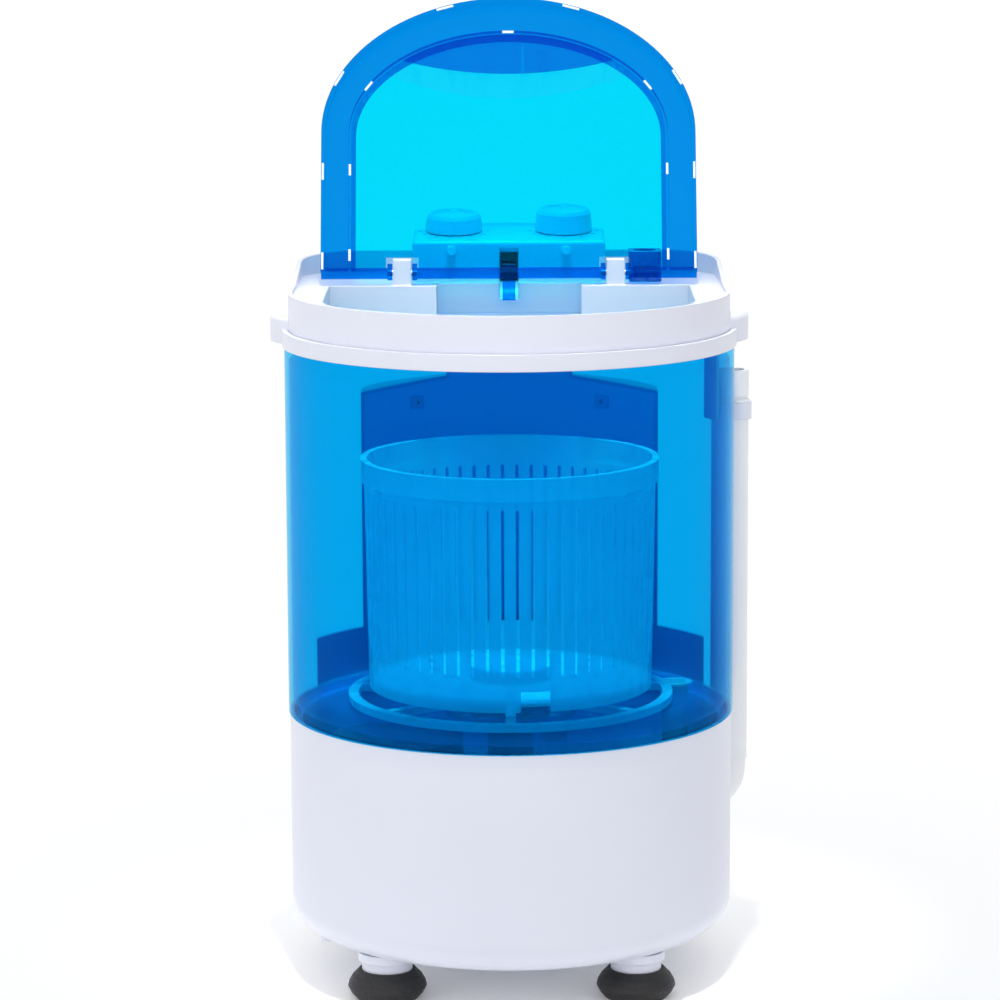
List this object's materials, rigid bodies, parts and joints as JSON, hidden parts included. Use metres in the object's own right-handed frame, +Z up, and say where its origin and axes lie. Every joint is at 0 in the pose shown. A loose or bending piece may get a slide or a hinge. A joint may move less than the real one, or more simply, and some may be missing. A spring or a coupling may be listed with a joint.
{
  "type": "top load washing machine",
  "caption": "Compact top load washing machine: clear round wash tub on a white base, lift-out slotted spin basket, hinged clear lid, two dials, side drain hose and rubber feet.",
  "frame": {"origin": "on the tub axis at floor level, under the feet", "axes": "+Z up along the tub axis, -Y towards the front of the machine, +X to the right as seen from the front"},
  "size_m": [0.331, 0.311, 0.6586],
  "materials": {
    "white_plastic": "smooth glossy moulded white",
    "tub_blue": "clear blue moulded plastic",
    "lid_blue": "deep clear blue moulded plastic",
    "window_cyan": "light clear cyan plastic pane",
    "window_pale": "pale clear cyan step of the pane",
    "pad_white": "pale soft buffer pads",
    "basket_blue": "milky blue plastic",
    "dark_blue": "dark blue plastic",
    "rubber": "matte black rubber",
    "steel": "plain steel",
    "bearing_metal": "sintered bronze",
    "motor_paint": "grey painted steel",
    "winding": "varnished copper windings",
    "black_plastic": "matte black plastic",
    "grey_plastic": "matte grey plastic",
    "wire": "wire insulation",
    "hose_white": "satin white hose",
    "pulsator_blue": "milky blue plastic"
  },
  "bodies": {
    "base": {"rubber_feet": "rubber", "foot_screws": "steel", "base_shell": "white_plastic", "rear_skirt": "white_plastic", "bottom_cover": "white_plastic", "bottom_screws": "steel", "wash_tub": "tub_blue", "drain_strainer": "basket_blue", "bearing_housing": "grey_plastic", "shaft_bearings": "bearing_metal", "shaft_seal": "rubber", "housing_screws": "steel", "drive_belt": "rubber", "motor_grommets": "rubber", "motor_bracket": "steel", "motor_bolts": "steel", "motor_can": "motor_paint", "motor_windings": "winding", "capacitor": "black_plastic", "capacitor_clamp": "steel", "drain_pipe": "grey_plastic", "drain_elbow": "hose_white", "drain_hose": "hose_white", "hose_clip": "white_plastic", "top_collar": "white_plastic", "control_tray": "white_plastic", "tray_screws": "steel", "rear_cover": "white_plastic", "cover_liner": "white_plastic", "cover_screws": "steel", "cord_gland": "black_plastic", "control_panel": "white_plastic", "lid_bumpers": "pad_white", "timer_unit": "black_plastic", "selector_switch": "black_plastic", "water_inlet": "dark_blue", "terminal_block": "black_plastic", "wiring_harness": "wire"},
    "lid": {"lid_frame": "lid_blue", "lid_window": "window_cyan", "lid_grip": "lid_blue", "lid_step": "window_pale", "lid_pads": "pad_white", "hinge_pins": "steel"},
    "timer_dial": {"timer_knob": "white_plastic", "timer_shaft": "steel"},
    "selector_dial": {"selector_knob": "white_plastic", "selector_shaft": "steel"},
    "drive": {"pulsator": "pulsator_blue", "pulsator_screw": "steel", "drive_shaft": "steel", "large_pulley": "black_plastic", "pulley_nut": "steel"},
    "basket": {"spin_basket": "basket_blue"},
    "rotor": {"motor_rotor": "steel", "small_pulley": "steel"}
  },
  "joints": [
    {"name": "lid_hinge", "type": "hinge", "parent": "base", "child": "lid", "pos_m": [0, 0.067, 0.472], "axis": [1, 0, 0], "range_deg": [0, 110]},
    {"name": "timer_turn", "type": "hinge", "parent": "base", "child": "timer_dial", "pos_m": [-0.0385, 0.118, 0.49622], "axis": [0, -0.1028, 0.9947], "range_deg": [0, 300]},
    {"name": "selector_turn", "type": "hinge", "parent": "base", "child": "selector_dial", "pos_m": [0.0385, 0.118, 0.49622], "axis": [0, -0.1028, 0.9947], "range_deg": [-45, 45]},
    {"name": "pulsator_spin", "type": "hinge", "parent": "base", "child": "drive", "pos_m": [0, 0, 0.15], "axis": [0, 0, 1], "continuous": true},
    {"name": "basket_lift", "type": "slide", "parent": "drive", "child": "basket", "axis": [0, 0, 1], "range_m": [0, 0.08]},
    {"name": "motor_spin", "type": "hinge", "parent": "base", "child": "rotor", "pos_m": [-0.07704, -0.03592, 0.13], "axis": [0, 0, 1], "continuous": true}
  ],
  "couplings": [
    {"joint": "motor_spin", "follows": "pulsator_spin", "ratio": 4}
  ]
}
